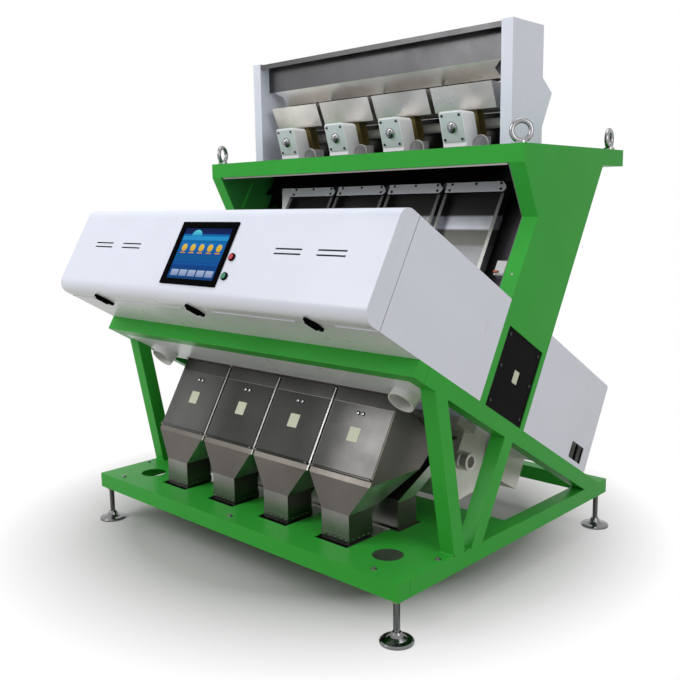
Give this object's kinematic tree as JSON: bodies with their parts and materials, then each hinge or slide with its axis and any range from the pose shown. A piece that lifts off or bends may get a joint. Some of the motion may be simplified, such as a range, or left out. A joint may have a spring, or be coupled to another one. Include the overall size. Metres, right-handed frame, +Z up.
{
  "type": "optical colour sorter",
  "caption": "Free-standing optical grain sorter: hopper, vibrating trays and steep chutes between tilted camera boxes on a tube frame, with steel outlets in its base.",
  "frame": {"origin": "on the floor, in the middle of the machine's outline", "axes": "+X to the right seen from the screen side, +Y from the screen side to the back, +Z up"},
  "size_m": [1.812, 1.6088, 2.081],
  "materials": {
    "green_paint": "glossy powder coat",
    "white_paint": "glossy powder coat",
    "stainless": "brushed sheet",
    "chute_sheet": "polished anodised sheet",
    "black_paint": "satin powder coat",
    "black_plastic": "moulded, fine grain",
    "chrome": "bright plating",
    "zinc": "aged zinc plating",
    "screen": "lit touch panel",
    "red_plastic": "moulded",
    "green_plastic": "moulded",
    "white_plastic": "moulded pipe",
    "camera_body": "anodised",
    "lamp_glass": "frosted tube",
    "window_glass": "clear plate",
    "spring_board": "glass fibre laminate",
    "cable": "sheathed cable",
    "grey_paint": "satin paint"
  },
  "bodies": {
    "frame": {"base_plate": "green_paint", "base_cross_tubes": "green_paint", "base_side_rails": "green_paint", "inclined_beams": "green_paint", "front_cross_beam": "green_paint", "front_legs": "green_paint", "rear_braces": "green_paint", "columns": "green_paint", "column_covers": "black_paint", "top_frame": "green_paint", "lifting_rings": "chrome", "foot_lock_nuts": "zinc", "front_box": "white_paint", "hood_hinges": "stainless", "underside_panel": "white_paint", "dust_ports": "white_plastic", "rear_box": "white_paint", "rear_panel": "white_paint", "rear_vent": "black_plastic", "chutes": "chute_sheet", "chute_clamps": "white_paint", "chute_bars": "black_paint", "chute_bay_panels": "black_paint", "line_cameras": "camera_body", "lamp_tubes": "lamp_glass", "inspection_glass": "window_glass", "ejector_manifold": "chrome", "valve_box": "stainless", "rear_duct": "stainless", "feeder_platform": "green_paint", "vibrator_bases": "white_paint", "vibrator_housings": "white_paint", "feeder_springs": "spring_board", "hopper_panels": "white_paint", "hopper_bin": "stainless", "feeder_cross_tube": "grey_paint", "front_outlets": "stainless", "rear_outlets": "stainless", "vibrator_cables": "cable"},
    "hood": {"front_hood": "white_paint", "screen_frame": "black_plastic", "screen_panel": "screen", "button_collars": "black_plastic"},
    "red_button": {"red_button": "red_plastic"},
    "green_button": {"green_button": "green_plastic"},
    "left_latch": {"left_latch": "black_plastic"},
    "middle_latch": {"middle_latch": "black_plastic"},
    "right_latch": {"right_latch": "black_plastic"},
    "front_left_foot": {"front_left_foot": "chrome"},
    "front_right_foot": {"front_right_foot": "chrome"},
    "rear_left_foot": {"rear_left_foot": "chrome"},
    "rear_right_foot": {"rear_right_foot": "chrome"},
    "feeder_tray_1": {"feeder_tray_1": "stainless"},
    "outlet_door_1": {"outlet_door_1": "stainless"},
    "feeder_tray_2": {"feeder_tray_2": "stainless"},
    "outlet_door_2": {"outlet_door_2": "stainless"},
    "feeder_tray_3": {"feeder_tray_3": "stainless"},
    "outlet_door_3": {"outlet_door_3": "stainless"},
    "feeder_tray_4": {"feeder_tray_4": "stainless"},
    "outlet_door_4": {"outlet_door_4": "stainless"}
  },
  "joints": [
    {"name": "hood_hinge", "type": "hinge", "parent": "frame", "child": "hood", "pos_m": [0, -0.55076, 1.37802], "axis": [-1, 0, 0], "range_deg": [0, 75]},
    {"name": "red_button_press", "type": "slide", "parent": "hood", "child": "red_button", "axis": [0, 0.866, -0.5], "range_m": [0, 0.004], "stiffness_N_per_m": 1000},
    {"name": "green_button_press", "type": "slide", "parent": "hood", "child": "green_button", "axis": [0, 0.866, -0.5], "range_m": [0, 0.004], "stiffness_N_per_m": 1000},
    {"name": "left_latch_turn", "type": "hinge", "parent": "frame", "child": "left_latch", "pos_m": [-0.614, -0.72416, 1.02168], "axis": [0, 0.5, 0.866], "range_deg": [0, 90]},
    {"name": "middle_latch_turn", "type": "hinge", "parent": "frame", "child": "middle_latch", "pos_m": [0, -0.72416, 1.02168], "axis": [0, 0.5, 0.866], "range_deg": [0, 90]},
    {"name": "right_latch_turn", "type": "hinge", "parent": "frame", "child": "right_latch", "pos_m": [0.614, -0.72416, 1.02168], "axis": [0, 0.5, 0.866], "range_deg": [0, 90]},
    {"name": "front_left_foot_screw", "type": "hinge", "parent": "frame", "child": "front_left_foot", "pos_m": [-0.848, -0.63855, 0], "axis": [0, 0, 1], "continuous": true},
    {"name": "front_right_foot_screw", "type": "hinge", "parent": "frame", "child": "front_right_foot", "pos_m": [0.848, -0.63855, 0], "axis": [0, 0, 1], "continuous": true},
    {"name": "rear_left_foot_screw", "type": "hinge", "parent": "frame", "child": "rear_left_foot", "pos_m": [-0.848, 0.72245, 0], "axis": [0, 0, 1], "continuous": true},
    {"name": "rear_right_foot_screw", "type": "hinge", "parent": "frame", "child": "rear_right_foot", "pos_m": [0.848, 0.72245, 0], "axis": [0, 0, 1], "continuous": true},
    {"name": "feeder_tray_1_shake", "type": "slide", "parent": "frame", "child": "feeder_tray_1", "axis": [0, 1, 0], "range_m": [-0.0015, 0.0015], "stiffness_N_per_m": 20000},
    {"name": "feeder_tray_2_shake", "type": "slide", "parent": "frame", "child": "feeder_tray_2", "axis": [0, 1, 0], "range_m": [-0.0015, 0.0015], "stiffness_N_per_m": 20000},
    {"name": "feeder_tray_3_shake", "type": "slide", "parent": "frame", "child": "feeder_tray_3", "axis": [0, 1, 0], "range_m": [-0.0015, 0.0015], "stiffness_N_per_m": 20000},
    {"name": "feeder_tray_4_shake", "type": "slide", "parent": "frame", "child": "feeder_tray_4", "axis": [0, 1, 0], "range_m": [-0.0015, 0.0015], "stiffness_N_per_m": 20000},
    {"name": "outlet_door_1_hinge", "type": "hinge", "parent": "frame", "child": "outlet_door_1", "pos_m": [-0.474, -0.50315, 0.46107], "axis": [1, 0, 0], "range_deg": [0, 75]},
    {"name": "outlet_door_2_hinge", "type": "hinge", "parent": "frame", "child": "outlet_door_2", "pos_m": [-0.158, -0.50315, 0.46107], "axis": [1, 0, 0], "range_deg": [0, 75]},
    {"name": "outlet_door_3_hinge", "type": "hinge", "parent": "frame", "child": "outlet_door_3", "pos_m": [0.158, -0.50315, 0.46107], "axis": [1, 0, 0], "range_deg": [0, 75]},
    {"name": "outlet_door_4_hinge", "type": "hinge", "parent": "frame", "child": "outlet_door_4", "pos_m": [0.474, -0.50315, 0.46107], "axis": [1, 0, 0], "range_deg": [0, 75]}
  ]
}
